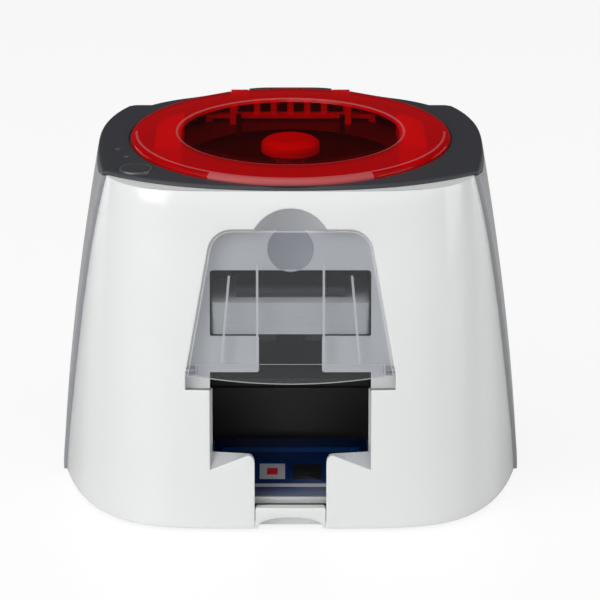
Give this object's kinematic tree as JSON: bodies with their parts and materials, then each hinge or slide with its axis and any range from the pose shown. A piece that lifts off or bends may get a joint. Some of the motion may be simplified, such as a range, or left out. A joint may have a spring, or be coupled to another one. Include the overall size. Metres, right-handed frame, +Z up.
{
  "type": "id card printer",
  "caption": "Desktop card printer with a hinged translucent lid, a front card feeder with a flap door, and an output tray with a finger notch.",
  "frame": {"origin": "centre of the footprint at the plane of the four rubber feet", "axes": "+X to the right seen from the front, +Y to the rear, +Z up; the front face looks along -Y"},
  "size_m": [0.262, 0.237, 0.2071],
  "materials": {
    "white_gloss_plastic": "gloss",
    "silver_grey_plastic": "satin gloss",
    "anthracite_plastic": "satin",
    "clear_red_plastic": "clear gloss",
    "clear_grey_plastic": "clear, faintly frosted",
    "chromed_plastic": "polished",
    "clear_lens_plastic": "clear",
    "black_plastic": "matte",
    "black_rubber": "matte",
    "zinc_plated_steel": "plated",
    "ground_steel": "ground",
    "spring_steel": "drawn wire",
    "circuit_board": "solder mask",
    "white_card_pvc": "smooth",
    "dark_grey_plastic": "matte",
    "orange_plastic": "matte",
    "grey_rubber": "matte",
    "ivory_acetal": "satin",
    "blue_silicone": "tacky gloss",
    "printed_card_pvc": "printed gloss",
    "brass": "turned",
    "pale_grey_plastic": "satin",
    "ceramic_head": "milled",
    "dark_ribbon_film": "glossy film",
    "plated_socket_shell": "stamped"
  },
  "bodies": {
    "housing": {"base_tray": "black_plastic", "rubber_feet": "black_rubber", "front_shell": "white_gloss_plastic", "side_panel_left": "silver_grey_plastic", "side_panel_right": "silver_grey_plastic", "rear_shell": "silver_grey_plastic", "top_bezel": "anthracite_plastic", "screws": "zinc_plated_steel", "indicator_lenses": "clear_lens_plastic", "lid_hinge_pins": "ground_steel", "door_hinge_pins": "ground_steel", "button_ring": "chromed_plastic", "button_spring": "spring_steel", "panel_board": "circuit_board", "feeder_tray": "black_plastic", "blank_cards": "white_card_pvc", "output_tray": "black_plastic", "output_lip": "white_gloss_plastic", "printed_cards": "printed_card_pvc", "card_guide": "black_plastic", "frame_left": "zinc_plated_steel", "frame_right": "zinc_plated_steel", "cross_rods": "ground_steel", "shaft_bushes": "brass", "head_bridge": "black_plastic", "cooling_fins": "pale_grey_plastic", "head_springs": "spring_steel", "ribbon_film": "dark_ribbon_film", "ribbon_guides": "ground_steel", "ribbon_motor": "zinc_plated_steel", "drive_motor": "zinc_plated_steel", "drive_belt": "black_rubber", "main_board": "circuit_board", "rear_sockets": "plated_socket_shell"},
    "lid": {"lid": "clear_red_plastic"},
    "feeder_door": {"feeder_door": "clear_grey_plastic"},
    "power_button": {"power_button": "anthracite_plastic"},
    "card_pusher": {"card_pusher": "dark_grey_plastic"},
    "thickness_gauge": {"thickness_gauge": "orange_plastic"},
    "pickup_rollers": {"pickup_shaft": "ground_steel", "pickup_tyres": "grey_rubber"},
    "feed_roller": {"feed_shaft": "ground_steel", "feed_sleeve": "grey_rubber"},
    "platen_roller": {"platen_shaft": "ground_steel", "platen_sleeve": "grey_rubber", "platen_gear": "ivory_acetal"},
    "transport_roller": {"transport_shaft": "ground_steel", "transport_sleeve": "grey_rubber"},
    "cleaning_roller": {"cleaning_roller": "blue_silicone"},
    "pinch_roller": {"pinch_roller": "grey_rubber"},
    "motor_pinion": {"motor_pinion": "brass"},
    "diverter_flap": {"diverter_flap": "dark_grey_plastic"},
    "lock_knob": {"lock_knob": "pale_grey_plastic"},
    "head_carrier": {"head_carrier": "dark_grey_plastic", "print_head": "ceramic_head"},
    "supply_roll": {"supply_core": "ivory_acetal", "supply_ribbon": "dark_ribbon_film"},
    "takeup_roll": {"takeup_core": "ivory_acetal", "takeup_gear": "ivory_acetal"},
    "ribbon_pinion": {"ribbon_pinion": "brass"}
  },
  "joints": [
    {"name": "lid_hinge", "type": "hinge", "parent": "housing", "child": "lid", "pos_m": [0, 0.08957, 0.2006], "axis": [-1, 0, 0], "range_deg": [0, 85]},
    {"name": "feeder_door_hinge", "type": "hinge", "parent": "housing", "child": "feeder_door", "pos_m": [0, -0.10956, 0.08842], "axis": [1, 0, 0], "range_deg": [0, 95]},
    {"name": "power_button_slide", "type": "slide", "parent": "housing", "child": "power_button", "axis": [0, 0.0958, -0.9954], "range_m": [0, 0.001], "stiffness_N_per_m": 1200, "springref_m": -0.0005, "deforming": ["button_spring"]},
    {"name": "card_pusher_hinge", "type": "hinge", "parent": "housing", "child": "card_pusher", "pos_m": [0, -0.04788, 0.141], "axis": [-1, 0, 0], "range_deg": [0, 40]},
    {"name": "thickness_gauge_slide", "type": "slide", "parent": "housing", "child": "thickness_gauge", "axis": [0, 0, 1], "range_m": [0, 0.0008]},
    {"name": "platen_spin", "type": "hinge", "parent": "housing", "child": "platen_roller", "pos_m": [0, 0.022, 0.0982], "axis": [1, 0, 0], "continuous": true},
    {"name": "pickup_spin", "type": "hinge", "parent": "housing", "child": "pickup_rollers", "pos_m": [0, -0.058, 0.0982], "axis": [1, 0, 0], "continuous": true},
    {"name": "feed_spin", "type": "hinge", "parent": "housing", "child": "feed_roller", "pos_m": [0, -0.0305, 0.0982], "axis": [1, 0, 0], "continuous": true},
    {"name": "transport_spin", "type": "hinge", "parent": "housing", "child": "transport_roller", "pos_m": [0, 0.05, 0.0982], "axis": [1, 0, 0], "continuous": true},
    {"name": "cleaning_spin", "type": "hinge", "parent": "housing", "child": "cleaning_roller", "pos_m": [0, -0.0305, 0.11331], "axis": [1, 0, 0], "continuous": true},
    {"name": "pinch_spin", "type": "hinge", "parent": "housing", "child": "pinch_roller", "pos_m": [0, 0.05, 0.11131], "axis": [1, 0, 0], "continuous": true},
    {"name": "motor_spin", "type": "hinge", "parent": "housing", "child": "motor_pinion", "pos_m": [0, 0.028, 0.07187], "axis": [1, 0, 0], "continuous": true},
    {"name": "diverter_flap_hinge", "type": "hinge", "parent": "housing", "child": "diverter_flap", "pos_m": [0, -0.006, 0.11], "axis": [1, 0, 0], "range_deg": [0, 35]},
    {"name": "lock_knob_turn", "type": "hinge", "parent": "housing", "child": "lock_knob", "pos_m": [0, -0.00563, 0.19394], "axis": [0, -0.0958, 0.9954], "range_deg": [0, 90]},
    {"name": "head_lift", "type": "hinge", "parent": "housing", "child": "head_carrier", "pos_m": [0, 0.08, 0.128], "axis": [-1, 0, 0], "range_deg": [0, 6], "stiffness_Nm_per_rad": 1.5, "springref_deg": -5.73, "deforming": ["head_springs"]},
    {"name": "supply_spin", "type": "hinge", "parent": "housing", "child": "supply_roll", "pos_m": [0, -0.014, 0.138], "axis": [1, 0, 0], "continuous": true},
    {"name": "takeup_spin", "type": "hinge", "parent": "housing", "child": "takeup_roll", "pos_m": [0, 0.058, 0.138], "axis": [1, 0, 0], "continuous": true},
    {"name": "ribbon_pinion_spin", "type": "hinge", "parent": "housing", "child": "ribbon_pinion", "pos_m": [0, 0.07402, 0.1545], "axis": [1, 0, 0], "continuous": true}
  ],
  "couplings": [
    {"joint": "pickup_spin", "follows": "platen_spin", "ratio": 1},
    {"joint": "feed_spin", "follows": "platen_spin", "ratio": 1},
    {"joint": "transport_spin", "follows": "platen_spin", "ratio": 1},
    {"joint": "cleaning_spin", "follows": "platen_spin", "ratio": -1},
    {"joint": "pinch_spin", "follows": "platen_spin", "ratio": -1.4},
    {"joint": "motor_spin", "follows": "platen_spin", "ratio": -2.375},
    {"joint": "ribbon_pinion_spin", "follows": "takeup_spin", "ratio": -2.2857}
  ]
}
